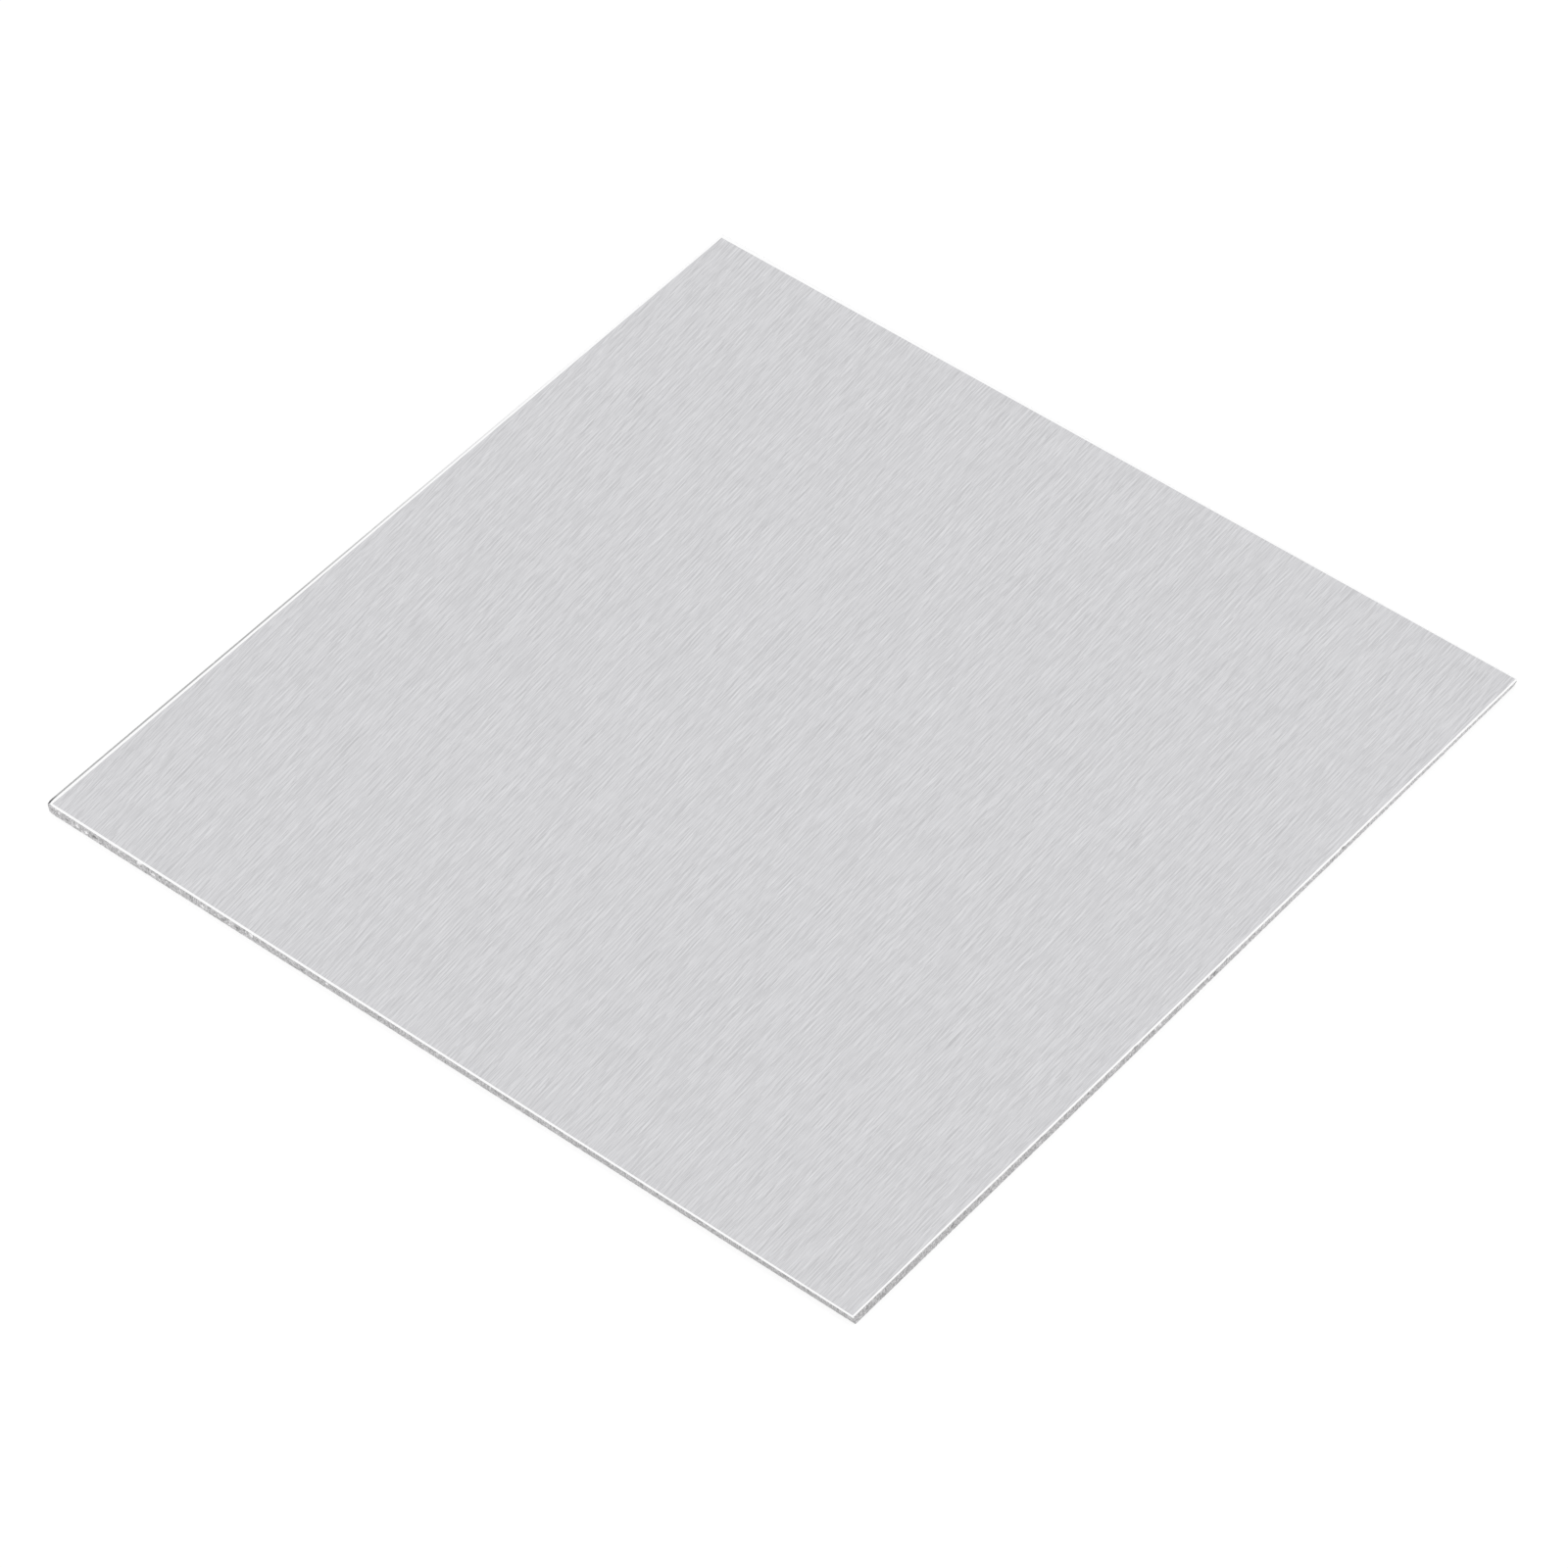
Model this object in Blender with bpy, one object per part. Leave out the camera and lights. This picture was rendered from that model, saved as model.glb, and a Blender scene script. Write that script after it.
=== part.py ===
"""A square of rolled aluminium sheet, cut to size on a guillotine and lightly deburred.

The sheet lies flat. Its origin is the centre of the underside, +Z is up, and +Y is the
direction in which the metal was rolled. All sizes are in metres.
"""

from math import copysign, cos, pi, sin

import bmesh
import bpy

# The blank that was ordered: its plan and its gauge.
SHEET_WIDTH = 0.300
SHEET_LENGTH = 0.300
SHEET_GAUGE = 0.003

# The cut edge, from the top down. The blade first draws the face down into a rounded
# shoulder, then rubs an upright band smooth, and the rest breaks away on a slope that
# leans in by the gap between the blades.
SHOULDER_WIDTH = 0.0007
SHOULDER_DROP = 0.0002
SMOOTH_BAND_HEIGHT = 0.0009
BLADE_GAP = 0.00015

# The deburring tool takes the sharpness off the lower arris and the four corners.
DEBURR_WIDTH = 0.00015
CORNER_RADIUS = 0.00025

# How many facets stand for each rounded form.
SHOULDER_STEPS = 8
DEBURR_STEPS = 2
CORNER_STEPS = 3

# Two facets meet at a crease past this angle, in radians.
CREASE_ANGLE = 0.6

MILL_ALUMINIUM = (0.652, 0.652, 0.665, 1.0)
MILL_ROUGHNESS = 0.38


def clear_scene():
    for old in list(bpy.data.objects):
        bpy.data.objects.remove(old, do_unlink=True)


def new_collection(name):
    collection = bpy.data.collections.new(name)
    bpy.context.scene.collection.children.link(collection)
    return collection


def mill_finish():
    """Bare metal, as it leaves the rolling mill."""
    material = bpy.data.materials.new("mill_aluminium")
    material.use_nodes = True
    shader = material.node_tree.nodes["Principled BSDF"]
    shader.inputs["Base Color"].default_value = MILL_ALUMINIUM
    shader.inputs["Metallic"].default_value = 1.0
    shader.inputs["Roughness"].default_value = MILL_ROUGHNESS
    return material


def quarter_round(width, height, steps):
    """The inward and outward step of each facet of a quarter ellipse.

    It starts along the wall that it leaves and ends along the face that it meets.
    """
    corners = []
    for i in range(steps + 1):
        turn = pi / 2 * i / steps
        corners.append((width * (1 - cos(turn)), height * sin(turn)))
    facets = []
    for (x0, y0), (x1, y1) in zip(corners, corners[1:]):
        facets.append((x1 - x0, y1 - y0))
    return facets


def draw_in(bm, face, facets):
    """Extrudes a face in steps, each of which narrows its outline and moves it out.

    The outline narrows by moving each corner in along its mitre, so the corners keep
    their rounding and the sides stay straight and parallel.
    """
    outward = copysign(1, face.normal.z)
    for step_in, step_out in facets:
        face = bmesh.ops.extrude_discrete_faces(bm, faces=[face])["faces"][0]
        for vert in face.verts:
            vert.co.x -= copysign(step_in, vert.co.x)
            vert.co.y -= copysign(step_in, vert.co.y)
            vert.co.z += outward * step_out


def smooth_band(bm):
    """The part of the sheet that has its full plan, as a block with its corners rounded."""
    bmesh.ops.create_cube(bm, size=1.0)
    bmesh.ops.scale(bm, vec=(SHEET_WIDTH, SHEET_LENGTH, SMOOTH_BAND_HEIGHT), verts=bm.verts)
    upright = [edge for edge in bm.edges if edge.verts[0].co.xy == edge.verts[1].co.xy]
    bmesh.ops.bevel(
        bm,
        geom=upright,
        offset=CORNER_RADIUS,
        offset_type="OFFSET",
        segments=CORNER_STEPS,
        profile=0.5,
        affect="EDGES",
    )
    bm.normal_update()


def sheet_mesh():
    """The smooth band, drawn in above to the face and below to the underside."""
    broken_band_height = SHEET_GAUGE - SHOULDER_DROP - SMOOTH_BAND_HEIGHT - DEBURR_WIDTH
    shoulder = quarter_round(SHOULDER_WIDTH, SHOULDER_DROP, SHOULDER_STEPS)
    broken_band = [(BLADE_GAP, broken_band_height)]
    lower_arris = quarter_round(DEBURR_WIDTH, DEBURR_WIDTH, DEBURR_STEPS)
    bm = bmesh.new()
    smooth_band(bm)
    top = max(bm.faces, key=lambda face: face.normal.z)
    bottom = min(bm.faces, key=lambda face: face.normal.z)
    draw_in(bm, top, shoulder)
    draw_in(bm, bottom, broken_band + lower_arris)
    lowest = min(vert.co.z for vert in bm.verts)
    bmesh.ops.translate(bm, vec=(0, 0, -lowest), verts=bm.verts)
    mesh = bpy.data.meshes.new("aluminium_sheet")
    bm.to_mesh(mesh)
    bm.free()
    return mesh


def build():
    clear_scene()
    collection = new_collection("aluminium_sheet")
    mesh = sheet_mesh()
    mesh.materials.append(mill_finish())
    mesh.shade_smooth()
    mesh.set_sharp_from_angle(angle=CREASE_ANGLE)
    sheet = bpy.data.objects.new("aluminium_sheet", mesh)
    collection.objects.link(sheet)


build()
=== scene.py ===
"""Looks of the aluminium sheet: its mill finish, its sheared edges, the floor, the light and the camera.

Lengths are in metres and angles in degrees. The sheet lies flat with +Z up. The metal was rolled along +Y,
give or take the few degrees of GRAIN_TURN.
"""
from math import cos, exp, pi, radians, sin

import bmesh
import bpy
import numpy as np
from mathutils import Matrix, Vector, noise


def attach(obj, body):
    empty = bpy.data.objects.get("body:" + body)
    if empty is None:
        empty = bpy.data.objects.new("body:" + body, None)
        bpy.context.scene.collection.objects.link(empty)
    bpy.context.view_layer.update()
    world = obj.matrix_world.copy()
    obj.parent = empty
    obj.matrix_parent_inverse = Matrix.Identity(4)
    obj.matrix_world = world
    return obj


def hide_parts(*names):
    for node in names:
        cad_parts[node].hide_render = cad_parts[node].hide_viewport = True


# The sheet's own sizes, the same as in the part's source.
SHEET_WIDTH = 0.300
SHEET_GAUGE = 0.003
SHOULDER_WIDTH = 0.0007
SHOULDER_DROP = 0.0002
SMOOTH_BAND_HEIGHT = 0.0009
BLADE_GAP = 0.00015
DEBURR_WIDTH = 0.00015
CORNER_RADIUS = 0.00025

# How finely the edge is divided: round each form of its section, and along one side.
SHOULDER_STEPS = 6
SMOOTH_STEPS = 2
BROKEN_STEPS = 6
DEBURR_STEPS = 2
CORNER_STEPS = 2
SIDE_STEPS = 1200
FACE_CELLS = 40
# Heights closer than this count as one.
LEVEL_TOLERANCE = 1e-7

# The four sides in order: the direction along the side, and the direction out from it. Side 0 faces -Y,
# side 1 +X, side 2 +Y and side 3 -X. Each runs on from the one before it. Every list below that has one
# entry for each side keeps this order.
SIDE_AXES = (
    ((1, 0), (0, -1)),
    ((0, 1), (1, 0)),
    ((-1, 0), (0, 1)),
    ((0, -1), (-1, 0)),
)

# The broken part of the cut is grainy, and its upper limit wanders. FINER_GRAIN is the size of its smaller
# grains, as a share of BREAK_GRAIN.
BREAK_RELIEF = 0.00007
BREAK_GRAIN = 0.00045
FINER_GRAIN = 0.45
GRAIN_WEIGHT = 0.65
FINER_GRAIN_WEIGHT = 0.35
BREAK_WANDER = 0.00016
WANDER_LENGTH = 0.004
FINER_WANDER_WEIGHT = 0.5
# At its upper limit it has BREAK_START of its relief. From there to the foot of the cut the relief grows
# BREAK_RISE times as fast as the depth, and the wander fades BREAK_FADE times as fast.
BREAK_START = 0.15
BREAK_RISE = 4.0
BREAK_FADE = 3.0
# The gap between the blades drifts along the cut: how much further than BLADE_GAP the foot of the cut leans
# in at each side's start and at its end. Past a corner, the next side's foot follows over LEAN_REACH.
CUT_LEANS = ((-0.00009, 0.00030), (-0.00035, 0.00036), (0.0, 0.0), (0.0, 0.0))
LEAN_REACH = 0.010
# The corner between sides 3 and 0 was knocked blunt: how deep, and how far from the corner that reaches.
KNOCK_DEPTH = 0.00050
KNOCK_REACH = 0.0014
# The blade leaves fine upright scores on the smooth band. They change SCORE_STRETCH as fast with height.
SCORE_RELIEF = 0.000012
SCORE_PITCH = 0.0005
SCORE_STRETCH = 0.1
# The shoulder is a little uneven.
LINE_WANDER = 0.00008
LINE_LENGTH = 0.0025
FINER_LINE_WEIGHT = 0.6
# The bright line on the rim is a painted highlight: near-white colour laid where the rim catches the light.
# The bright line's lower limit at each side's start and at its end: how far out from the sheet's outline it
# is seen at the photograph's tilt, where a depth of 1 down the cut looks as wide as LIMIT_TILT on the face.
BRIGHT_LIMITS = ((-0.00046, 0.00010), (-0.00042, 0.00042), (0.00010, 0.00030), (0.00010, 0.00010))
LIMIT_TILT = 0.56
LIMIT_BLUR = 0.00010
LIMIT_WANDER = 0.00003
# The shine runs from DULLEST to BRIGHTEST, and the metal turns from cut to bright line over SHINE_TURN.
DULLEST = -3.0
BRIGHTEST = 4.0
SHINE_TURN = (0.25, 0.75)
# The noise on the edge is read this far aside.
NOISE_SHIFT = 0.17

# Further off than this many of its widths, a dent or a speck has died away.
MARK_REACH = 3
# Small dents in the edge: the side's number, how far along it, how wide, how deep, and how high up.
NICKS = (
    (0, 0.0022, 0.0009, 0.00026, 0.0018),
    (0, 0.0081, 0.0010, 0.00028, 0.0016),
    (0, 0.0110, 0.0007, 0.00022, 0.0025),
    (0, 0.0189, 0.0018, 0.00040, 0.0017),
    (0, 0.0398, 0.0010, 0.00026, 0.0027),
    (0, 0.0566, 0.0008, 0.00020, 0.0023),
    (0, 0.0689, 0.0009, 0.00024, 0.0014),
    (0, 0.0743, 0.0011, 0.00030, 0.0018),
    (0, 0.0770, 0.0008, 0.00012, 0.0029),
    (0, 0.0989, 0.0009, 0.00024, 0.0014),
    (0, 0.1132, 0.0009, 0.00026, 0.0020),
    (0, 0.1803, 0.0008, 0.00020, 0.0016),
    (0, 0.2660, 0.0008, 0.00022, 0.0023),
    (1, 0.0054, 0.0010, 0.00026, 0.0019),
    (1, 0.0421, 0.0014, 0.00034, 0.0019),
    (1, 0.0806, 0.0010, 0.00016, 0.0029),
    (1, 0.1095, 0.0009, 0.00026, 0.0021),
    (1, 0.1220, 0.0010, 0.00028, 0.0026),
    (1, 0.1469, 0.0009, 0.00024, 0.0022),
    (1, 0.1580, 0.0014, 0.00036, 0.0016),
    (1, 0.1635, 0.0008, 0.00014, 0.0029),
    (1, 0.2123, 0.0010, 0.00026, 0.0014),
    (1, 0.2169, 0.0010, 0.00026, 0.0025),
    (1, 0.2292, 0.0009, 0.00024, 0.0016),
    (2, 0.0330, 0.0008, 0.00024, 0.0026),
    (2, 0.1480, 0.0008, 0.00024, 0.0020),
    (2, 0.2310, 0.0009, 0.00028, 0.0013),
    (3, 0.0520, 0.0008, 0.00026, 0.0019),
    (3, 0.1390, 0.0008, 0.00024, 0.0015),
    (3, 0.2610, 0.0009, 0.00026, 0.0021),
)
# How far a dent reaches up and down from its height, and how far in over the shoulder.
NICK_HEIGHT = 0.00045
NICK_REACH = 0.00032
# A dent this deep takes NICK_DULLS off the shine.
NICK_UNSHINE = 0.00020
NICK_DULLS = 2.0
# A dent this deep is painted with shade that takes the share NICK_SHADE_DARKEST off the cut's tone.
NICK_SHADE_DEPTH = 0.00040
NICK_SHADE_DARKEST = 0.68

# Bright specks on the cut: the side's number, how far along it, how wide, how light, and how high up.
SPECKS = (
    (0, 0.0053, 0.0008, 0.50, 0.0026),
    (0, 0.0123, 0.0011, 0.90, 0.0017),
    (0, 0.0158, 0.0011, 1.00, 0.0015),
    (0, 0.0287, 0.0008, 0.50, 0.0024),
    (0, 0.0365, 0.0012, 0.90, 0.0029),
    (0, 0.0418, 0.0013, 1.15, 0.0017),
    (0, 0.0525, 0.0008, 0.50, 0.0024),
    (0, 0.0609, 0.0012, 0.95, 0.0017),
    (0, 0.0671, 0.0008, 0.55, 0.0022),
    (0, 0.0714, 0.0010, 0.70, 0.0013),
    (0, 0.0800, 0.0011, 0.80, 0.0028),
    (0, 0.1086, 0.0008, 0.50, 0.0024),
    (0, 0.1935, 0.0008, 0.35, 0.0012),
    (0, 0.2040, 0.0009, 0.60, 0.0013),
    (1, 0.0800, 0.0009, 0.50, 0.0017),
    (1, 0.1131, 0.0009, 0.55, 0.0021),
    (1, 0.1332, 0.0010, 0.60, 0.0023),
    (1, 0.1432, 0.0009, 0.60, 0.0015),
    (1, 0.1554, 0.0009, 0.55, 0.0021),
    (1, 0.2646, 0.0009, 0.45, 0.0016),
    (2, 0.0720, 0.0008, 0.50, 0.0016),
    (2, 0.1830, 0.0010, 0.70, 0.0012),
    (3, 0.0980, 0.0010, 0.70, 0.0018),
    (3, 0.2050, 0.0008, 0.50, 0.0014),
)
SPECK_HEIGHT = 0.0004

# The rim of one side is flattened level with the face, and a dark band of painted shade lies along it. The
# painted shade is darkest by the corner where that side ends, over RIM_SHADE_HEAD. Flattening and shade fade
# out between
# FLAT_SHADED_FADE_FROM and FLAT_SHADED_FADE_TO from that corner. Down the cut the shade ends in a ragged
# line at RIM_SHADE_FOOT.
FLAT_SHADED_SIDE = 3
RIM_SHADE_WIDTH = 0.00066
RIM_SHADE_BLUR = 0.00010
RIM_SHADE_HEAD = 0.0062
RIM_SHADE_HEAD_SHARE = 0.98
RIM_SHADE_SHARE = 0.56
FLAT_SHADED_FADE_FROM = 0.095
FLAT_SHADED_FADE_TO = 0.235
RIM_SHADE_FOOT = 0.00238
RIM_SHADE_FOOT_WANDER = 0.00030
RIM_SHADE_FOOT_LENGTH = 0.0012

# How light the cut is at each side's start and at its end. The change along and between the sides is painted
# shading, for light that falls unevenly along the edge.
CUT_TONES = ((0.58, 0.505), (0.50, 0.60), (0.63, 0.57), (0.57, 0.56))

# The grain: how far its direction is turned from +Y, how far back along it from the sheet's middle the point
# lies that its lines draw apart from, and the size of one streak across and along.
GRAIN_TURN = 4.3
GRAIN_FAN = 4.11
FINE_STREAK = (0.00015, 0.0055)
SECOND_STREAK = (0.00012, 0.0060)
GROOVE = (0.00021, 0.0038)
# How far down each of them reaches, and how deep the grooves are.
STREAK_DEPTH = 0.0006
GROOVE_DEPTH = 0.000010
FINE_WEIGHT = 0.65
SECOND_WEIGHT = 0.35
# Each fine streak dulls the metal a little at this distance on both sides of it.
FLANK_STEP = 0.0006
FLANK_WEIGHT = 0.16
# The colours of the darkest and the lightest streak.
FACE_DARK = (0.529, 0.528, 0.541)
FACE_LIGHT = (0.785, 0.784, 0.8025)
FACE_ANISOTROPY = 0.45
# The roughness of a dark streak and of a light one, and the tones of streak at which each is reached.
FACE_ROUGHNESS = (0.42, 0.34)
FACE_SPREAD = (0.2, 0.8)

# The sheet's margins that carry the painted highlight of the bright line: for each, a direction across the
# sheet, and how far from the sheet's middle the margin begins that way.
HIGHLIGHT_MARGINS = (
    ((-0.00250, -1.0, 0.0), 0.14907),
    ((1.0, -0.00245, 0.0), 0.14932),
    ((-0.00380, 1.0, 0.0), 0.14883),
    ((-1.0, -0.00167, 0.0), 0.14869),
)
MARGIN_BLUR = 0.00010
# The near-white colour painted on the bright line as a highlight.
PAINTED_HIGHLIGHT = (0.985, 0.985, 0.987)
# How much smoother the painted-highlight margin is than the face, and the bright line than the cut.
HIGHLIGHT_MARGIN_POLISH = 0.06
HIGHLIGHT_LINE_POLISH = 0.24
# The colour of the painted shade along the rim of one side.
RIM_SHADE_COLOUR = (0.04, 0.04, 0.044)

# The cut: its tint, how far its tone goes each way, its roughness, and the size of its mottle, grit, scores
# and grains along X, Y and Z. The grains' borders are crumbled by shifts of up to CUT_CRUMBLE_REACH.
CUT_COLOUR = (1.0, 0.991, 1.0)
CUT_CONTRAST = 0.55
CUT_SPREAD = (0.30, 0.70)
CUT_ROUGHNESS = (0.50, 0.62)
CUT_MOTTLE = (0.0009, 0.0009, 0.0009)
CUT_GRIT = (0.00024, 0.00024, 0.00036)
CUT_SCORES = (0.00013, 0.00013, 0.0024)
CUT_GRAINS = (0.00024, 0.00024, 0.00032)
CUT_CRUMBLE = (0.00016, 0.00016, 0.00016)
CUT_CRUMBLE_REACH = 0.00055
# How much each counts in the cut's tone.
MOTTLE_TONE = 0.40
GRIT_TONE = 0.20
CELLS_TONE = 0.40
# How much each counts in its finest relief, which is CUT_DEPTH high.
GRIT_RELIEF = 0.60
CELLS_RELIEF = 0.40
CUT_DEPTH = 0.00005

# Each noise's octaves past the first, and how strong each is next to the one before it.
GROOVE_DETAIL = (1.0, 0.5)
MOTTLE_DETAIL = (3.0, 0.6)
GRIT_DETAIL = (2.0, 0.6)
CRUMBLE_DETAIL = (2.0, 0.5)
# Each pattern is read at a place of its own.
SECOND_OFFSET = 31.3
GROOVE_OFFSET = 12.7
GRIT_OFFSET = 11.0
SCORES_OFFSET = 23.0
GRAINS_OFFSET = 41.0

# The baked textures' map: two bands for the faces over each other, then a strip for each side of the edge.
TOP_BAND = (0.0, 0.550)
UNDER_BAND = (0.553, 0.900)
FIRST_STRIP = 0.904
STRIP_PITCH = 0.0245
STRIP_HEIGHT = 0.020
MAP_MARGIN = 0.002

# The photograph's camera: direction, tilt of the picture, distance, focal length and the point it looks at.
CAMERA_AZIMUTH = 41.744
CAMERA_ELEVATION = 47.661
CAMERA_ROLL = -2.474
CAMERA_DISTANCE = 2.2018
CAMERA_LENS_MM = 176.71
SENSOR_MM = 36.0
CAMERA_AIM = (0.00887, -0.01083, 0.0)

# The studio. The floor lies FLOOR_GAP under the sheet. To the eye, FLOOR_LIFT of its light is an even glow.
FLOOR_SIZE = 12.0
FLOOR_GAP = 0.00005
FLOOR_COLOUR = (0.92, 0.92, 0.92, 1.0)
FLOOR_LIFT = 0.66
FLOOR_GLOW = 1.10
# The tent is SKY_OVERHEAD bright round SKY_AXIS, and darkens to SKY_AT_RIM at right angles to it.
SKY_AXIS = (-0.25, 0.28, 0.93)
SKY_AT_RIM = 0.78
SKY_OVERHEAD = 1.00
SKY_RAMP_END = 0.45
KEY_FROM = (2.10, -0.50, 1.90)
KEY_SIZE = 3.2
KEY_WATTS = 12.0


# Shape of the sheet.


def edge_section():
    """The edge's profile from the top face's rim down to the underside's, as (inset, height)."""
    shoulder_foot = SHEET_GAUGE - SHOULDER_DROP
    smooth_foot = shoulder_foot - SMOOTH_BAND_HEIGHT
    points = []
    for step in range(SHOULDER_STEPS):
        turn = pi / 2 * (1 - step / SHOULDER_STEPS)
        points.append((SHOULDER_WIDTH * (1 - cos(turn)), shoulder_foot + SHOULDER_DROP * sin(turn)))
    for step in range(SMOOTH_STEPS):
        points.append((0.0, shoulder_foot - SMOOTH_BAND_HEIGHT * step / SMOOTH_STEPS))
    for step in range(BROKEN_STEPS):
        share = step / BROKEN_STEPS
        points.append((BLADE_GAP * share, smooth_foot - (smooth_foot - DEBURR_WIDTH) * share))
    for step in range(DEBURR_STEPS + 1):
        turn = pi / 2 * step / DEBURR_STEPS
        points.append((BLADE_GAP + DEBURR_WIDTH * (1 - cos(turn)), DEBURR_WIDTH * (1 - sin(turn))))
    return points


def side_stations():
    """Places along one side, from the middle of one rounded corner to the middle of the next.

    Each is (share of the straight part, and the outward direction along and away from the side).
    """
    stations = []
    for step in range(CORNER_STEPS):
        turn = pi / 4 * (1 - step / CORNER_STEPS)
        stations.append((-1.0, -sin(turn), cos(turn)))
    straight = SIDE_STEPS - 2 * CORNER_STEPS
    for step in range(straight):
        stations.append((-1.0 + 2.0 * step / straight, 0.0, 1.0))
    for step in range(CORNER_STEPS):
        turn = pi / 4 * step / CORNER_STEPS
        stations.append((1.0, sin(turn), cos(turn)))
    return stations


def bell(distance, width):
    return exp(-((distance / width) ** 2))


def clamp(value):
    return min(1.0, max(0.0, value))


def along_side(ends, along):
    """A value at this place along a side, from its values at the side's start and at its end."""
    first, last = ends
    return first + (last - first) * along / SHEET_WIDTH


def unevenness(place):
    """The wander of a line, from long waves and finer ones."""
    return noise.noise(place / LINE_LENGTH) + FINER_LINE_WEIGHT * noise.noise(place / SCORE_PITCH)


def nick_depth(side, along, height):
    """How far the edge is dented here."""
    depth = 0.0
    for nick_side, place, width, deepest, nick_height in NICKS:
        if nick_side != side or abs(along - place) > MARK_REACH * width:
            continue
        depth += deepest * bell(along - place, width / 2) * bell(height - nick_height, NICK_HEIGHT)
    return depth


def foot_lean(side, along):
    """How much further than the blade gap the foot of a side's cut leans in here."""
    return max(-BLADE_GAP, along_side(CUT_LEANS[side], along))


def lean(place):
    """The shift of one point of the cut, which grows from the smooth band down to the foot."""
    half = SHEET_WIDTH / 2
    smooth_foot = SHEET_GAUGE - SHOULDER_DROP - SMOOTH_BAND_HEIGHT
    share = clamp((smooth_foot - place.z) / (smooth_foot - DEBURR_WIDTH))
    shift = Vector((0.0, 0.0, 0.0))
    for side, (along_axis, out_axis) in enumerate(SIDE_AXES):
        along = half + place.x * along_axis[0] + place.y * along_axis[1]
        away = half - place.x * out_axis[0] - place.y * out_axis[1]
        nearness = max(0.0, 1 - away / LEAN_REACH)
        shift -= Vector((*out_axis, 0.0)) * foot_lean(side, along) * nearness * share
    return shift


def knock(place):
    """The shift of one point of the edge near the corner that was knocked blunt, towards the middle."""
    half = SHEET_WIDTH / 2
    reach = Vector((place.x + half, place.y + half, 0.0)).length
    return Vector((1.0, 1.0, 0.0)).normalized() * KNOCK_DEPTH * bell(reach, KNOCK_REACH)


def brightness(side, along, inset, height, place):
    """The painted highlight's mask: above one half on the bright line, and below it on the dull cut."""
    limit = along_side(BRIGHT_LIMITS[side], along) + LIMIT_WANDER * unevenness(place)
    seen = LIMIT_TILT * (SHEET_GAUGE - height) - inset
    return min(BRIGHTEST, max(DULLEST, 0.5 + (limit - seen) / LIMIT_BLUR))


def flat_shaded_rim(side, along):
    """How far the rim is flattened and painted with shade: all of it near the end of its side, and none on
    the other sides.
    """
    if side != FLAT_SHADED_SIDE:
        return 0.0
    left = SHEET_WIDTH - along
    return clamp((FLAT_SHADED_FADE_TO - left) / (FLAT_SHADED_FADE_TO - FLAT_SHADED_FADE_FROM))


def relief(side, along, inset, height, place):
    """The inward push, the drop, the painted highlight's mask and the brokenness of one point of the edge.
    """
    shoulder_foot = SHEET_GAUGE - SHOULDER_DROP
    smooth_foot = shoulder_foot - SMOOTH_BAND_HEIGHT
    dent = nick_depth(side, along, height) * max(0.0, 1 - inset / NICK_REACH)
    shine = brightness(side, along, inset, height, place) - NICK_DULLS * min(1.0, dent / NICK_UNSHINE)
    broken = 0.0
    push = dent
    drop = 0.0
    if height > shoulder_foot - LEVEL_TOLERANCE:
        drop = (height - SHEET_GAUGE) * flat_shaded_rim(side, along)
    if height > shoulder_foot + LEVEL_TOLERANCE:
        rise = (height - shoulder_foot) / SHOULDER_DROP
        push += LINE_WANDER * max(0.0, unevenness(place)) * (1 - rise)
    elif height > smooth_foot + LEVEL_TOLERANCE:
        scored = Vector((place.x, place.y, place.z * SCORE_STRETCH)) / SCORE_PITCH
        push += SCORE_RELIEF * (1 + noise.noise(scored))
    elif height > DEBURR_WIDTH - LEVEL_TOLERANCE:
        share = (smooth_foot - height) / (smooth_foot - DEBURR_WIDTH)
        grain = noise.noise(place / BREAK_GRAIN)
        finer = noise.noise(place / (BREAK_GRAIN * FINER_GRAIN))
        roughness = 0.5 + GRAIN_WEIGHT * grain + FINER_GRAIN_WEIGHT * finer
        push += BREAK_RELIEF * roughness * min(1.0, BREAK_START + BREAK_RISE * share)
        wander = noise.noise(place / WANDER_LENGTH) + FINER_WANDER_WEIGHT * grain
        drop = BREAK_WANDER * wander * max(0.0, 1 - BREAK_FADE * share)
        broken = min(1.0, 0.5 + BREAK_FADE * share)
    else:
        broken = 1.0
    return max(0.0, push), drop, shine, broken


def painted_rim_shade(side, along, inset, height, place):
    """How dark the rim is painted, as shade along the flattened rim of one side."""
    shade_reach = flat_shaded_rim(side, along)
    if shade_reach == 0.0:
        return 0.0
    within = clamp(0.5 + (RIM_SHADE_WIDTH - inset) / RIM_SHADE_BLUR)
    foot = RIM_SHADE_FOOT - RIM_SHADE_FOOT_WANDER * noise.noise(place / RIM_SHADE_FOOT_LENGTH)
    above = clamp((height - foot) / (SHEET_GAUGE - SHOULDER_DROP - RIM_SHADE_FOOT))
    head = RIM_SHADE_HEAD_SHARE * bell(SHEET_WIDTH - along, RIM_SHADE_HEAD)
    return within * above * max(head, RIM_SHADE_SHARE * shade_reach)


def cut_tone(side, along, height):
    """How light the cut is here, with its painted shading along the sides, shade painted into its dents, and
    bright specks.
    """
    tone = along_side(CUT_TONES[side], along)
    # Painted shade: the deeper a dent, the darker it is painted.
    tone *= 1 - NICK_SHADE_DARKEST * min(1.0, nick_depth(side, along, height) / NICK_SHADE_DEPTH)
    for speck_side, place, width, lightest, speck_height in SPECKS:
        if speck_side == side and abs(along - place) < MARK_REACH * width:
            light = bell(along - place, width / 2) * bell(height - speck_height, SPECK_HEIGHT)
            tone *= 1 + lightest * light
    return tone


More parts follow.
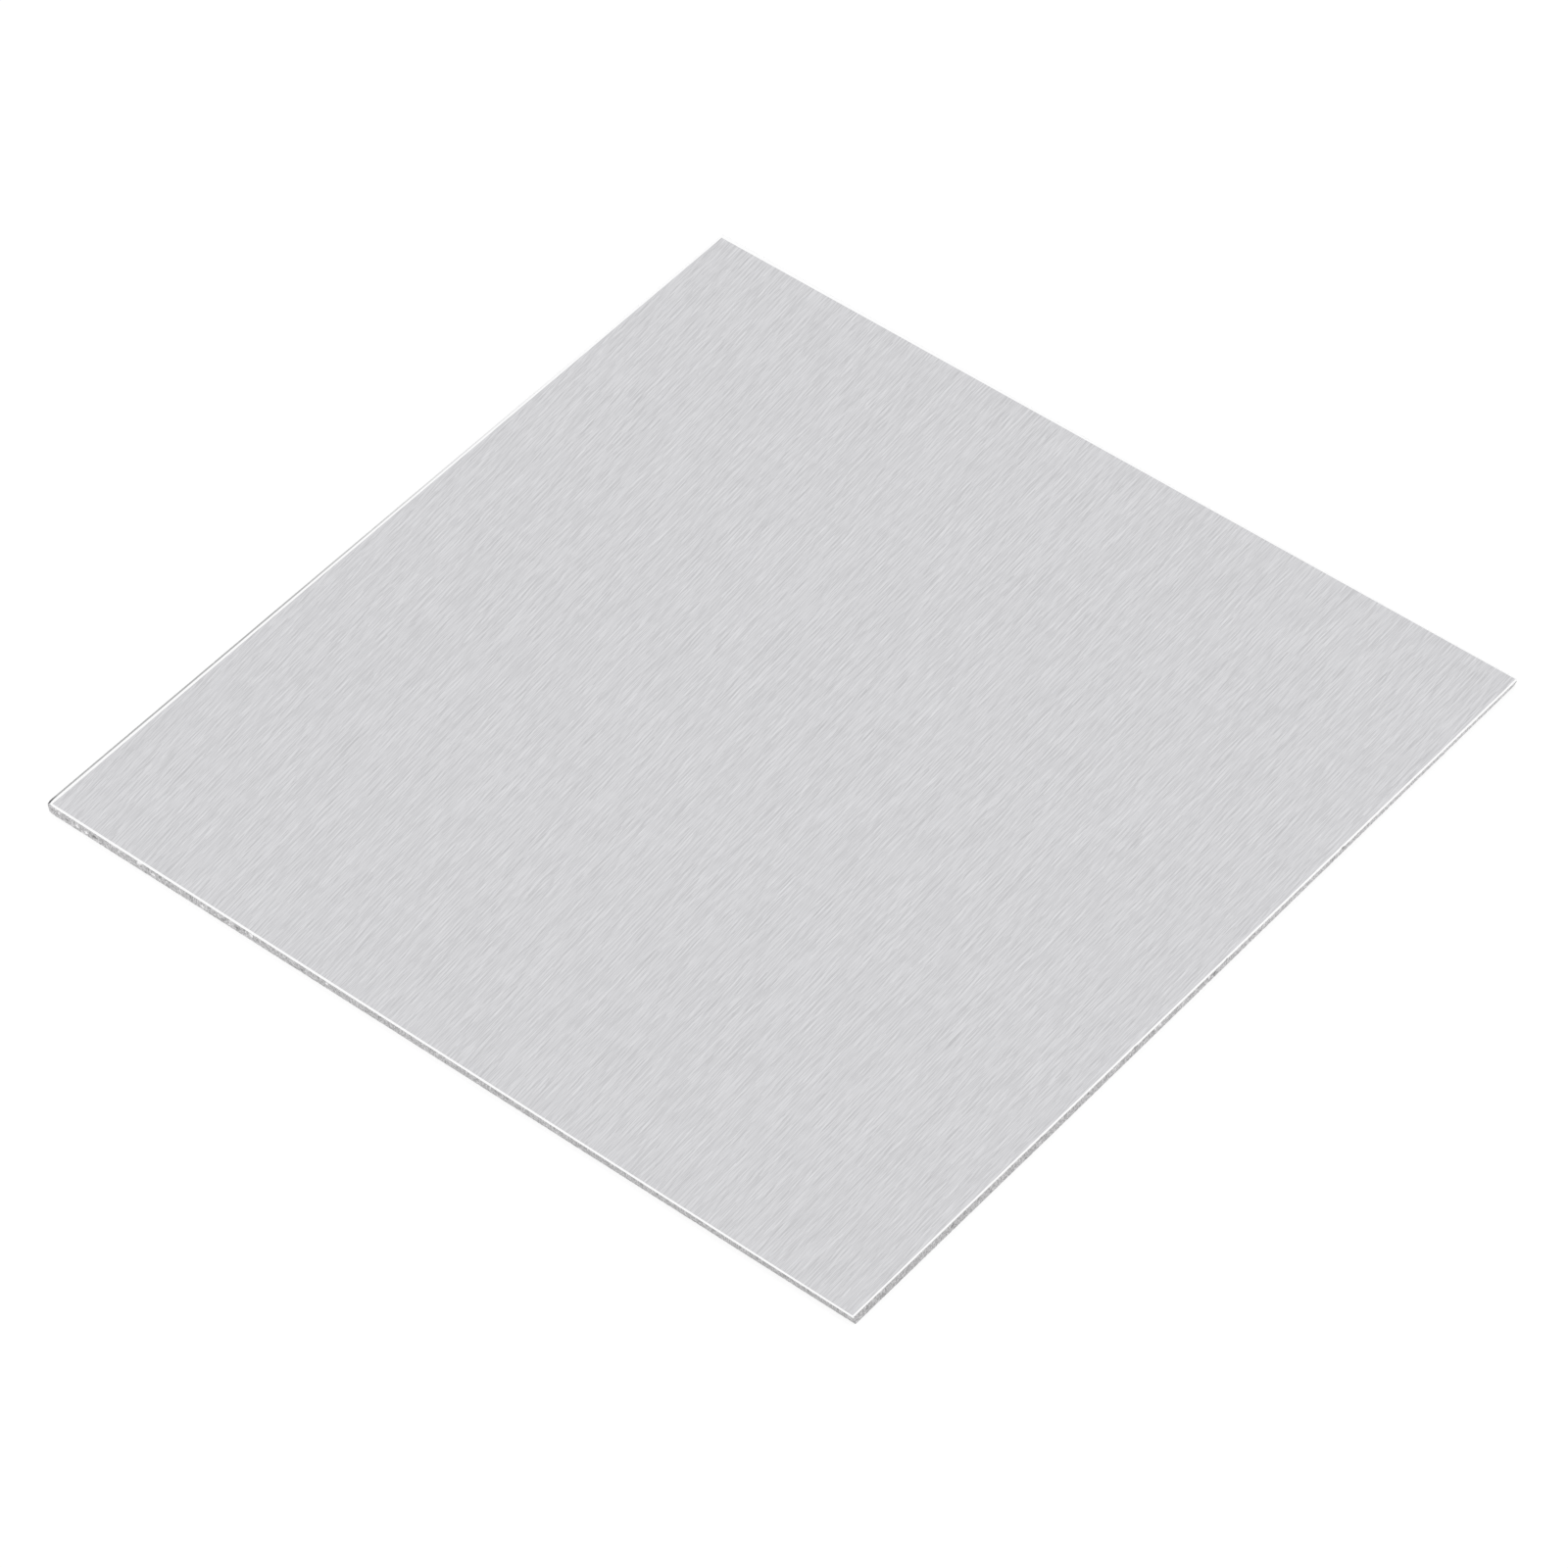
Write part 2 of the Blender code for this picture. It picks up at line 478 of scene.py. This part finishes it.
def rim_points(section):
    """Every point of the edge by ring, and what the finish needs to know about it."""
    stations = side_stations()
    half = SHEET_WIDTH / 2
    points = np.zeros((len(section), 4 * SIDE_STEPS, 3))
    highlight_mask = np.zeros(points.shape[:2])
    rim_shades = np.zeros(points.shape[:2])
    tones = np.zeros(points.shape[:2])
    breaks = np.zeros(points.shape[:2])
    shift = Vector((NOISE_SHIFT, 0.0, 0.0))
    for ring, (inset, height) in enumerate(section):
        centre = half - CORNER_RADIUS - inset
        for side, (along_axis, out_axis) in enumerate(SIDE_AXES):
            for step, (share, out_along, out_away) in enumerate(stations):
                a = share * centre + CORNER_RADIUS * out_along
                b = centre + CORNER_RADIUS * out_away
                plain = Vector((
                    a * along_axis[0] + b * out_axis[0],
                    a * along_axis[1] + b * out_axis[1],
                    height,
                ))
                outward = Vector((
                    out_along * along_axis[0] + out_away * out_axis[0],
                    out_along * along_axis[1] + out_away * out_axis[1],
                    0.0,
                ))
                along = half + a
                column = side * SIDE_STEPS + step
                if 0 < ring < len(section) - 1:
                    push, drop, shine, broken = relief(side, along, inset, height, plain + shift)
                elif ring == 0:
                    push, drop, shine, broken = 0.0, 0.0, BRIGHTEST, 0.0
                else:
                    push, drop, shine, broken = 0.0, 0.0, DULLEST, 1.0
                moved = plain + lean(plain) + knock(plain)
                points[ring, column] = moved - outward * push - Vector((0.0, 0.0, drop))
                highlight_mask[ring, column] = shine
                rim_shades[ring, column] = painted_rim_shade(side, along, inset, height, plain + shift)
                tones[ring, column] = cut_tone(side, along, height)
                breaks[ring, column] = broken
    return points, {"highlight_mask": highlight_mask, "painted_rim_shade": rim_shades, "tone": tones, "broken": breaks}


def face_grid(first_rim, first_inner, facing_up):
    """The polygons of a flat face, whose outer cells take in every point of the rim."""
    run = SIDE_STEPS // FACE_CELLS
    inner_row = FACE_CELLS - 1

    def rim(side, place):
        return first_rim + (side * SIDE_STEPS + place) % (4 * SIDE_STEPS)

    def corner(i, j):
        if j == 0:
            return rim(0, i * run)
        if i == FACE_CELLS:
            return rim(1, j * run)
        if j == FACE_CELLS:
            return rim(2, (FACE_CELLS - i) * run)
        if i == 0:
            return rim(3, (FACE_CELLS - j) * run)
        return first_inner + (j - 1) * inner_row + i - 1

    polygons = []
    for i in range(FACE_CELLS):
        for j in range(FACE_CELLS):
            loop = [corner(i, j)]
            if j == 0:
                loop += [rim(0, i * run + k) for k in range(1, run)]
            loop.append(corner(i + 1, j))
            if i == FACE_CELLS - 1:
                loop += [rim(1, j * run + k) for k in range(1, run)]
            loop.append(corner(i + 1, j + 1))
            if j == FACE_CELLS - 1:
                loop += [rim(2, (FACE_CELLS - i - 1) * run + k) for k in range(1, run)]
            loop.append(corner(i, j + 1))
            if i == 0:
                loop += [rim(3, (FACE_CELLS - j - 1) * run + k) for k in range(1, run)]
            polygons.append(loop if facing_up else loop[::-1])
    return polygons


def inner_points(ring_points, height):
    """The points of a flat face inside its rim, level with the rim's own stations."""
    run = SIDE_STEPS // FACE_CELLS
    lines = ring_points[: SIDE_STEPS : run, 0][1:]
    return [(x, y, height) for y in lines for x in lines]


def edge_quads(rings):
    """The quads round the edge, each with the numbers of its side, step and ring."""
    total = 4 * SIDE_STEPS
    quads = []
    places = []
    for ring in range(rings - 1):
        for column in range(total):
            after = (column + 1) % total
            quads.append((
                (ring + 1) * total + column,
                (ring + 1) * total + after,
                ring * total + after,
                ring * total + column,
            ))
            places.append((column // SIDE_STEPS, column % SIDE_STEPS, ring))
    return quads, places


def lay_out(mesh, section, places, face_count):
    """Two UV maps: one for the baked textures, and one that runs across the grain for the sheen."""
    span = 1 - 2 * MAP_MARGIN
    lengths = [0.0]
    for (inset_a, height_a), (inset_b, height_b) in zip(section, section[1:]):
        lengths.append(lengths[-1] + ((inset_a - inset_b) ** 2 + (height_a - height_b) ** 2) ** 0.5)
    half = SHEET_WIDTH / 2
    loops = len(mesh.loops)
    vertex = np.zeros(loops, dtype=np.int32)
    mesh.loops.foreach_get("vertex_index", vertex)
    where = np.zeros(len(mesh.vertices) * 3)
    mesh.vertices.foreach_get("co", where)
    where = where.reshape(-1, 3)[vertex]
    bake = np.zeros((loops, 2))
    start = 4 * len(places)
    middle = start + face_count
    for first, last, (low, high) in ((start, middle, TOP_BAND), (middle, loops, UNDER_BAND)):
        bake[first:last, 0] = MAP_MARGIN + span * (where[first:last, 0] + half) / SHEET_WIDTH
        bake[first:last, 1] = low + (high - low) * (where[first:last, 1] + half) / SHEET_WIDTH
    side, step, ring = np.array(places).T
    across = np.array(lengths) / lengths[-1]
    u = MAP_MARGIN + span * np.arange(SIDE_STEPS + 1) / SIDE_STEPS
    base = FIRST_STRIP + STRIP_PITCH * side
    for corner, (more, down) in enumerate(((0, 1), (1, 1), (1, 0), (0, 0))):
        bake[corner:start:4, 0] = u[step + more]
        bake[corner:start:4, 1] = base + STRIP_HEIGHT * across[ring + down]
    mesh.uv_layers.new(name="OFBake").data.foreach_set("uv", bake.ravel())
    turn = radians(GRAIN_TURN)
    grain = np.zeros((loops, 2))
    grain[:, 0] = where[:, 0] * cos(turn) + where[:, 1] * sin(turn)
    grain[:, 1] = where[:, 1] * cos(turn) - where[:, 0] * sin(turn)
    mesh.uv_layers.new(name="AcrossGrain").data.foreach_set("uv", grain.ravel())


def sheet_mesh():
    """The whole sheet as one closed mesh."""
    section = edge_section()
    points, marks = rim_points(section)
    rings = len(section)
    vertices = points.reshape(-1, 3).tolist()
    edge_count = len(vertices)
    above = inner_points(points[0], SHEET_GAUGE)
    below = inner_points(points[-1], 0.0)
    vertices += above + below
    quads, places = edge_quads(rings)
    top = face_grid(0, edge_count, True)
    under = face_grid((rings - 1) * 4 * SIDE_STEPS, edge_count + len(above), False)
    mesh = bpy.data.meshes.new("rolled_sheet")
    mesh.from_pydata(vertices, [], quads + top + under)
    slots = np.zeros(len(mesh.polygons), dtype=np.int32)
    slots[: len(quads)] = 1
    mesh.polygons.foreach_set("material_index", slots)
    mesh.polygons.foreach_set("use_smooth", np.ones(len(mesh.polygons), dtype=bool))
    lay_out(mesh, section, places, sum(map(len, top)))
    for name, values in marks.items():
        spread = np.zeros(len(vertices))
        spread[:edge_count] = values.ravel()
        mesh.attributes.new(name, "FLOAT", "POINT").data.foreach_set("value", spread)
    crease_rims(mesh, rings)
    mesh.update()
    return mesh


def crease_rims(mesh, rings):
    """The flat faces stay flat in shading up to their rims."""
    total = 4 * SIDE_STEPS
    shape = bmesh.new()
    shape.from_mesh(mesh)
    last = (rings - 1) * total
    for edge in shape.edges:
        a, b = edge.verts[0].index, edge.verts[1].index
        if max(a, b) < total or last <= min(a, b) and max(a, b) < last + total:
            edge.smooth = False
    shape.to_mesh(mesh)
    shape.free()


# Materials.


def new_material(name):
    material = bpy.data.materials.new(name)
    material.use_nodes = True
    nodes = material.node_tree.nodes
    nodes.clear()
    output = nodes.new("ShaderNodeOutputMaterial")
    return material, nodes, material.node_tree.links, output


def turned_place(nodes, links):
    """Object coordinates, turned so that the grain runs along Y."""
    place = nodes.new("ShaderNodeTexCoord")
    turn = nodes.new("ShaderNodeMapping")
    turn.inputs["Rotation"].default_value = (0.0, 0.0, -radians(GRAIN_TURN))
    links.new(place.outputs["Object"], turn.inputs["Vector"])
    return turn.outputs["Vector"]


def fanned_place(nodes, links):
    """The turned place, on lines that draw apart along the grain."""
    place = turned_place(nodes, links)
    parts = nodes.new("ShaderNodeSeparateXYZ")
    fanned = nodes.new("ShaderNodeCombineXYZ")
    links.new(place, parts.inputs["Vector"])
    widening = calculate(nodes, links, "MULTIPLY", parts.outputs["Y"], 1 / GRAIN_FAN)
    widening = calculate(nodes, links, "ADD", widening, 1.0)
    across = calculate(nodes, links, "DIVIDE", parts.outputs["X"], widening)
    links.new(across, fanned.inputs["X"])
    links.new(parts.outputs["Y"], fanned.inputs["Y"])
    links.new(parts.outputs["Z"], fanned.inputs["Z"])
    return fanned.outputs["Vector"]


def stretched_noise(nodes, links, place, size, detail, roughness, offset=0.0):
    """Noise with spots of this size along X, Y and Z."""
    scale = nodes.new("ShaderNodeMapping")
    scale.inputs["Scale"].default_value = [1.0 / length for length in size]
    scale.inputs["Location"].default_value = (offset, offset, offset)
    pattern = nodes.new("ShaderNodeTexNoise")
    pattern.inputs["Scale"].default_value = 1.0
    pattern.inputs["Detail"].default_value = detail
    pattern.inputs["Roughness"].default_value = roughness
    links.new(place, scale.inputs["Vector"])
    links.new(scale.outputs["Vector"], pattern.inputs["Vector"])
    return pattern.outputs["Fac"]


def streak_cells(nodes, links, place, size, offset=0.0, aside=0.0):
    """Long narrow cells along the grain, each of its own tone, moved aside by this much."""
    scale = nodes.new("ShaderNodeMapping")
    scale.inputs["Scale"].default_value = [1.0 / length for length in size]
    scale.inputs["Location"].default_value = (offset + aside / size[0], offset, offset)
    cells = nodes.new("ShaderNodeTexVoronoi")
    cells.inputs["Scale"].default_value = 1.0
    links.new(place, scale.inputs["Vector"])
    links.new(scale.outputs["Vector"], cells.inputs["Vector"])
    return cells.outputs["Color"]


def crumbled_place(nodes, links, place, size, reach):
    """The place, shifted a little here and there, so that the grains' borders are ragged."""
    scale = nodes.new("ShaderNodeMapping")
    scale.inputs["Scale"].default_value = [1.0 / length for length in size]
    pattern = nodes.new("ShaderNodeTexNoise")
    pattern.inputs["Scale"].default_value = 1.0
    pattern.inputs["Detail"].default_value, pattern.inputs["Roughness"].default_value = CRUMBLE_DETAIL
    shift = nodes.new("ShaderNodeVectorMath")
    shift.operation = "MULTIPLY_ADD"
    shift.inputs[1].default_value = (reach, reach, reach)
    links.new(place, scale.inputs["Vector"])
    links.new(scale.outputs["Vector"], pattern.inputs["Vector"])
    links.new(pattern.outputs["Color"], shift.inputs[0])
    links.new(place, shift.inputs[2])
    return shift.outputs["Vector"]


def attribute(nodes, name):
    node = nodes.new("ShaderNodeAttribute")
    node.attribute_name = name
    return node.outputs["Fac"]


def calculate(nodes, links, operation, a, b):
    """One sum on two values, each a socket or a number."""
    node = nodes.new("ShaderNodeMath")
    node.operation = operation
    for socket, value in zip(node.inputs, (a, b)):
        if isinstance(value, (int, float)):
            socket.default_value = value
        else:
            links.new(value, socket)
    return node.outputs["Value"]


def weighted(nodes, links, parts):
    """The weighted sum of several patterns."""
    total = None
    for pattern, weight in parts:
        share = calculate(nodes, links, "MULTIPLY", pattern, weight)
        total = share if total is None else calculate(nodes, links, "ADD", total, share)
    return total


def blend_colours(nodes, links, factor, first, second):
    """From the first colour to the second, each a socket or a colour.

    Inputs 6 and 7 and output 2 of a mix node are its colour sockets.
    """
    node = nodes.new("ShaderNodeMix")
    node.data_type = "RGBA"
    links.new(factor, node.inputs["Factor"])
    for socket, value in ((node.inputs[6], first), (node.inputs[7], second)):
        if isinstance(value, tuple):
            socket.default_value = (*value, 1.0)
        else:
            links.new(value, socket)
    return node.outputs[2]


def rescale(nodes, links, value, old_range, new_range):
    """The value, clamped to the old range and carried over to the new one."""
    node = nodes.new("ShaderNodeMapRange")
    links.new(value, node.inputs["Value"])
    node.inputs["From Min"].default_value, node.inputs["From Max"].default_value = old_range
    node.inputs["To Min"].default_value, node.inputs["To Max"].default_value = new_range
    return node.outputs["Result"]


def metal_shader(nodes, links, output, colour, roughness, height, depth, anisotropy):
    shader = nodes.new("ShaderNodeBsdfPrincipled")
    shader.inputs["Metallic"].default_value = 1.0
    shader.inputs["Anisotropic"].default_value = anisotropy
    links.new(colour, shader.inputs["Base Color"])
    links.new(roughness, shader.inputs["Roughness"])
    bump = nodes.new("ShaderNodeBump")
    bump.inputs["Strength"].default_value = 1.0
    bump.inputs["Distance"].default_value = depth
    links.new(height, bump.inputs["Height"])
    links.new(bump.outputs["Normal"], shader.inputs["Normal"])
    if anisotropy:
        tangent = nodes.new("ShaderNodeTangent")
        tangent.direction_type = "UV_MAP"
        tangent.uv_map = "AcrossGrain"
        links.new(tangent.outputs["Tangent"], shader.inputs["Tangent"])
    links.new(shader.outputs["BSDF"], output.inputs["Surface"])


def highlight_margin(nodes, links):
    """One on the margins that carry the painted highlight, and nought on the rest of the face."""
    place = nodes.new("ShaderNodeTexCoord")
    highlight = None
    for direction, start in HIGHLIGHT_MARGINS:
        reach = nodes.new("ShaderNodeVectorMath")
        reach.operation = "DOT_PRODUCT"
        reach.inputs[1].default_value = direction
        links.new(place.outputs["Object"], reach.inputs[0])
        margin = rescale(nodes, links, reach.outputs["Value"], (start, start + MARGIN_BLUR), (0.0, 1.0))
        highlight = margin if highlight is None else calculate(nodes, links, "MAXIMUM", highlight, margin)
    return highlight


def milled_metal(nodes, links):
    """The colour of the rolled face with its margins painted near-white as a highlight, the tone of its
    streaks, and the margins.
    """
    place = fanned_place(nodes, links)
    size = (*FINE_STREAK, STREAK_DEPTH)
    fine = streak_cells(nodes, links, place, size)
    left = streak_cells(nodes, links, place, size, aside=-FLANK_STEP)
    right = streak_cells(nodes, links, place, size, aside=FLANK_STEP)
    second = streak_cells(nodes, links, place, (*SECOND_STREAK, STREAK_DEPTH), SECOND_OFFSET)
    flank = -FLANK_WEIGHT * FINE_WEIGHT
    streak = weighted(nodes, links, (
        (fine, FINE_WEIGHT - 2 * flank),
        (left, flank),
        (right, flank),
        (second, SECOND_WEIGHT),
    ))
    metal = blend_colours(nodes, links, streak, FACE_DARK, FACE_LIGHT)
    highlight = highlight_margin(nodes, links)
    return blend_colours(nodes, links, highlight, metal, PAINTED_HIGHLIGHT), streak, highlight


def mill_finish():
    """The rolled face: fine bright and dull streaks along the grain, and margins painted near-white as a
    highlight.
    """
    material, nodes, links, output = new_material("mill_finish")
    colour, streak, highlight = milled_metal(nodes, links)
    place = fanned_place(nodes, links)
    groove = stretched_noise(nodes, links, place, (*GROOVE, STREAK_DEPTH), *GROOVE_DETAIL, GROOVE_OFFSET)
    dullness = rescale(nodes, links, streak, FACE_SPREAD, FACE_ROUGHNESS)
    polish = rescale(nodes, links, highlight, (0.0, 1.0), (0.0, HIGHLIGHT_MARGIN_POLISH))
    roughness = calculate(nodes, links, "SUBTRACT", dullness, polish)
    metal_shader(nodes, links, output, colour, roughness, groove, GROOVE_DEPTH, FACE_ANISOTROPY)
    return material


def sheared_finish():
    """The cut edge: a shoulder painted bright as a highlight over a dull, mottled and pitted cut, with
    painted shade in its dents and along one rim.
    """
    material, nodes, links, output = new_material("sheared_finish")
    place = turned_place(nodes, links)
    mottle = stretched_noise(nodes, links, place, CUT_MOTTLE, *MOTTLE_DETAIL)
    grit = stretched_noise(nodes, links, place, CUT_GRIT, *GRIT_DETAIL, GRIT_OFFSET)
    scores = streak_cells(nodes, links, place, CUT_SCORES, SCORES_OFFSET)
    crumbled = crumbled_place(nodes, links, place, CUT_CRUMBLE, CUT_CRUMBLE_REACH)
    grains = streak_cells(nodes, links, crumbled, CUT_GRAINS, GRAINS_OFFSET)
    cells = blend_colours(nodes, links, attribute(nodes, "broken"), scores, grains)
    spread = weighted(nodes, links, ((mottle, MOTTLE_TONE), (grit, GRIT_TONE), (cells, CELLS_TONE)))
    lightness = rescale(nodes, links, spread, CUT_SPREAD, (1 - CUT_CONTRAST, 1 + CUT_CONTRAST))
    tone = calculate(nodes, links, "MULTIPLY", lightness, attribute(nodes, "tone"))
    cut = blend_colours(nodes, links, tone, (0.0, 0.0, 0.0), CUT_COLOUR)
    # Painted highlight: the bright line takes the face's colour with its near-white painted margin.
    shine = rescale(nodes, links, attribute(nodes, "highlight_mask"), SHINE_TURN, (0.0, 1.0))
    milled = milled_metal(nodes, links)[0]
    metal = blend_colours(nodes, links, shine, cut, milled)
    # Painted shade: the dark band along the rim of one side.
    colour = blend_colours(nodes, links, attribute(nodes, "painted_rim_shade"), metal, RIM_SHADE_COLOUR)
    dullness = rescale(nodes, links, spread, CUT_SPREAD, CUT_ROUGHNESS)
    polish = rescale(nodes, links, shine, (0.0, 1.0), (0.0, HIGHLIGHT_LINE_POLISH))
    roughness = calculate(nodes, links, "SUBTRACT", dullness, polish)
    height = weighted(nodes, links, ((grit, GRIT_RELIEF), (cells, CELLS_RELIEF)))
    metal_shader(nodes, links, output, colour, roughness, height, CUT_DEPTH, 0.0)
    return material


# The studio.


def floor_material():
    """Pale and matt. To the eye, and in a reflection, it is lifted to white, and keeps a faint shadow."""
    material, nodes, links, output = new_material("studio_floor")
    matt = nodes.new("ShaderNodeBsdfDiffuse")
    matt.inputs["Color"].default_value = FLOOR_COLOUR
    rays = nodes.new("ShaderNodeLightPath")
    seen = rays.outputs["Is Camera Ray"]
    seen = calculate(nodes, links, "MAXIMUM", seen, rays.outputs["Is Glossy Ray"])
    seen = calculate(nodes, links, "MAXIMUM", seen, rays.outputs["Is Transmission Ray"])
    glow = nodes.new("ShaderNodeEmission")
    glow.inputs["Strength"].default_value = FLOOR_GLOW
    both = nodes.new("ShaderNodeMixShader")
    links.new(calculate(nodes, links, "MULTIPLY", seen, FLOOR_LIFT), both.inputs["Fac"])
    links.new(matt.outputs["BSDF"], both.inputs[1])
    links.new(glow.outputs["Emission"], both.inputs[2])
    links.new(both.outputs["Shader"], output.inputs["Surface"])
    return material


def add_floor():
    half = FLOOR_SIZE / 2
    mesh = bpy.data.meshes.new("studio_floor")
    corners = [(-half, -half, -FLOOR_GAP), (half, -half, -FLOOR_GAP)]
    corners += [(half, half, -FLOOR_GAP), (-half, half, -FLOOR_GAP)]
    mesh.from_pydata(corners, [], [(0, 1, 2, 3)])
    mesh.materials.append(floor_material())
    floor = bpy.data.objects.new("studio_floor", mesh)
    bpy.context.scene.collection.objects.link(floor)


def add_sky():
    """A white tent over the sheet, which darkens towards its rim."""
    world = bpy.data.worlds.new("studio")
    bpy.context.scene.world = world
    world.use_nodes = True
    nodes = world.node_tree.nodes
    links = world.node_tree.links
    nodes.clear()
    output = nodes.new("ShaderNodeOutputWorld")
    light = nodes.new("ShaderNodeBackground")
    seen = nodes.new("ShaderNodeBackground")
    mix = nodes.new("ShaderNodeMixShader")
    rays = nodes.new("ShaderNodeLightPath")
    direction = nodes.new("ShaderNodeTexCoord")
    facing = nodes.new("ShaderNodeVectorMath")
    facing.operation = "DOT_PRODUCT"
    facing.inputs[1].default_value = SKY_AXIS
    links.new(direction.outputs["Generated"], facing.inputs[0])
    ramp = (0.0, SKY_RAMP_END)
    level = rescale(nodes, links, facing.outputs["Value"], ramp, (SKY_AT_RIM, SKY_OVERHEAD))
    links.new(level, light.inputs["Strength"])
    links.new(rays.outputs["Is Camera Ray"], mix.inputs["Fac"])
    links.new(light.outputs["Background"], mix.inputs[1])
    links.new(seen.outputs["Background"], mix.inputs[2])
    for background in (light, seen):
        background.inputs["Color"].default_value = (1.0, 1.0, 1.0, 1.0)
    links.new(mix.outputs["Shader"], output.inputs["Surface"])


def add_key():
    """One large soft lamp from the front right of the picture."""
    data = bpy.data.lights.new("key", "AREA")
    data.shape = "SQUARE"
    data.size = KEY_SIZE
    data.energy = KEY_WATTS
    lamp = bpy.data.objects.new("key", data)
    bpy.context.scene.collection.objects.link(lamp)
    lamp.location = KEY_FROM
    lamp.rotation_mode = "QUATERNION"
    lamp.rotation_quaternion = (-Vector(KEY_FROM)).to_track_quat("-Z", "Y")


def add_camera():
    azimuth, elevation, roll = radians(CAMERA_AZIMUTH), radians(CAMERA_ELEVATION), radians(CAMERA_ROLL)
    back = Vector((sin(azimuth) * cos(elevation), -cos(azimuth) * cos(elevation), sin(elevation)))
    level = Vector((cos(azimuth), sin(azimuth), 0.0))
    upright = back.cross(level)
    right = level * cos(roll) + upright * sin(roll)
    up = upright * cos(roll) - level * sin(roll)
    data = bpy.data.cameras.new("photo_camera")
    data.sensor_width = SENSOR_MM
    data.lens = CAMERA_LENS_MM
    camera = bpy.data.objects.new("photo_camera", data)
    bpy.context.scene.collection.objects.link(camera)
    turn = Matrix((right, up, back)).transposed().to_4x4()
    camera.matrix_world = Matrix.Translation(Vector(CAMERA_AIM) + back * CAMERA_DISTANCE) @ turn
    bpy.context.scene.camera = camera


def add_sheet():
    mesh = sheet_mesh()
    mesh.materials.append(mill_finish())
    mesh.materials.append(sheared_finish())
    sheet = bpy.data.objects.new("rolled_sheet", mesh)
    bpy.context.scene.collection.objects.link(sheet)
    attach(sheet, "root")
    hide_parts("aluminium_sheet")


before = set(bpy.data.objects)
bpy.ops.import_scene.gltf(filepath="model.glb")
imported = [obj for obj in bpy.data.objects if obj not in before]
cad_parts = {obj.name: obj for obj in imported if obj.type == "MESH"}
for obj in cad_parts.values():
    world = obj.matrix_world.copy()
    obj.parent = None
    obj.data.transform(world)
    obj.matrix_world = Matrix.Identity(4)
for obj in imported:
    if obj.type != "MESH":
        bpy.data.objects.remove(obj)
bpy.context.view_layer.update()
add_camera()
add_sheet()
add_floor()
add_sky()
add_key()
bpy.context.scene.view_settings.view_transform = "Standard"
bpy.context.view_layer.update()
